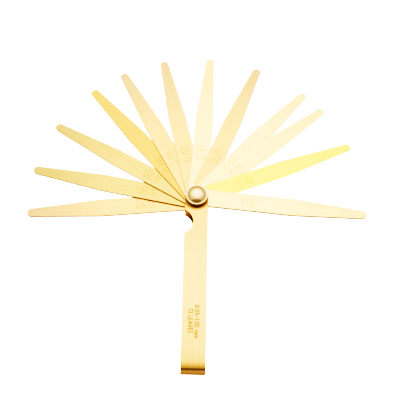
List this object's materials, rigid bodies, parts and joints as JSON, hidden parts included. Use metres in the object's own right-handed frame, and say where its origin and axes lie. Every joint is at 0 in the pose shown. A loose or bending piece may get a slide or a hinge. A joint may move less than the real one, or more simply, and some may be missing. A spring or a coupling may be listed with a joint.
{
  "type": "feeler gauge",
  "caption": "Brass feeler gauge: thin tapered leaves fan out on one pivot from a case folded from sheet, with a thumb notch and a domed clamp nut.",
  "frame": {"origin": "on the pivot axis, at the outer face of the back plate that the gauge lies on", "axes": "+Z along the pivot axis, out of the front plate towards the clamp nut; -Y along the case towards its fold; +X across the case, away from the thumb notch"},
  "size_m": [0.1835, 0.1885, 0.0112],
  "materials": {
    "case_brass": "fine brushed along the case, lightly polished",
    "leaf_brass": "rolled sheet, fine grain along the leaf",
    "screw_brass": "turned",
    "washer_brass": "stamped",
    "nut_brass": "turned and polished"
  },
  "bodies": {
    "case_and_pivot": {"case": "case_brass", "pivot_screw": "screw_brass"},
    "leaf_0_90": {"leaf_0_90": "leaf_brass"},
    "leaf_0_80": {"leaf_0_80": "leaf_brass"},
    "leaf_0_70": {"leaf_0_70": "leaf_brass"},
    "leaf_0_60": {"leaf_0_60": "leaf_brass"},
    "leaf_0_50": {"leaf_0_50": "leaf_brass"},
    "leaf_0_40": {"leaf_0_40": "leaf_brass"},
    "leaf_0_30": {"leaf_0_30": "leaf_brass"},
    "leaf_0_25": {"leaf_0_25": "leaf_brass"},
    "leaf_0_20": {"leaf_0_20": "leaf_brass"},
    "leaf_0_15": {"leaf_0_15": "leaf_brass"},
    "leaf_0_10": {"leaf_0_10": "leaf_brass"},
    "leaf_0_05": {"leaf_0_05": "leaf_brass"},
    "leaf_1_00": {"leaf_1_00": "leaf_brass"},
    "washer": {"washer": "washer_brass"},
    "clamp_nut": {"clamp_nut": "nut_brass"}
  },
  "joints": [
    {"name": "leaf_0_90_swing", "type": "hinge", "parent": "case_and_pivot", "child": "leaf_0_90", "pos_m": [0, 0, 0.00097], "axis": [0, 0, 1], "range_deg": [-276, 84]},
    {"name": "leaf_0_80_swing", "type": "hinge", "parent": "case_and_pivot", "child": "leaf_0_80", "pos_m": [0, 0, 0.00184], "axis": [0, 0, 1], "range_deg": [-259.6, 100.4]},
    {"name": "leaf_0_70_swing", "type": "hinge", "parent": "case_and_pivot", "child": "leaf_0_70", "pos_m": [0, 0, 0.00261], "axis": [0, 0, 1], "range_deg": [-241, 119]},
    {"name": "leaf_0_60_swing", "type": "hinge", "parent": "case_and_pivot", "child": "leaf_0_60", "pos_m": [0, 0, 0.00328], "axis": [0, 0, 1], "range_deg": [-221.9, 138.1]},
    {"name": "leaf_0_50_swing", "type": "hinge", "parent": "case_and_pivot", "child": "leaf_0_50", "pos_m": [0, 0, 0.00385], "axis": [0, 0, 1], "range_deg": [-209.1, 150.9]},
    {"name": "leaf_0_40_swing", "type": "hinge", "parent": "case_and_pivot", "child": "leaf_0_40", "pos_m": [0, 0, 0.00432], "axis": [0, 0, 1], "range_deg": [-193.4, 166.6]},
    {"name": "leaf_0_30_swing", "type": "hinge", "parent": "case_and_pivot", "child": "leaf_0_30", "pos_m": [0, 0, 0.00469], "axis": [0, 0, 1], "range_deg": [-176.1, 183.9]},
    {"name": "leaf_0_25_swing", "type": "hinge", "parent": "case_and_pivot", "child": "leaf_0_25", "pos_m": [0, 0, 0.00498], "axis": [0, 0, 1], "range_deg": [-158.1, 201.9]},
    {"name": "leaf_0_20_swing", "type": "hinge", "parent": "case_and_pivot", "child": "leaf_0_20", "pos_m": [0, 0, 0.00523], "axis": [0, 0, 1], "range_deg": [-138.3, 221.7]},
    {"name": "leaf_0_15_swing", "type": "hinge", "parent": "case_and_pivot", "child": "leaf_0_15", "pos_m": [0, 0, 0.00543], "axis": [0, 0, 1], "range_deg": [-129.1, 230.9]},
    {"name": "leaf_0_10_swing", "type": "hinge", "parent": "case_and_pivot", "child": "leaf_0_10", "pos_m": [0, 0, 0.00557], "axis": [0, 0, 1], "range_deg": [-111.8, 248.2]},
    {"name": "leaf_0_05_swing", "type": "hinge", "parent": "case_and_pivot", "child": "leaf_0_05", "pos_m": [0, 0, 0.00566], "axis": [0, 0, 1], "range_deg": [-84.7, 275.3]},
    {"name": "leaf_1_00_swing", "type": "hinge", "parent": "case_and_pivot", "child": "leaf_1_00", "pos_m": [0, 0, 0.00621], "axis": [0, 0, 1], "range_deg": [-84.7, 275.3]},
    {"name": "clamp_lift", "type": "slide", "parent": "case_and_pivot", "child": "washer", "axis": [0, 0, 1], "range_m": [0, 0.0007]},
    {"name": "clamp_turn", "type": "hinge", "parent": "washer", "child": "clamp_nut", "pos_m": [0, 0, 0.00853], "axis": [0, 0, 1], "range_deg": [0, 360]}
  ],
  "couplings": [
    {"joint": "clamp_turn", "follows": "clamp_lift", "rad_per_m": 8976}
  ]
}
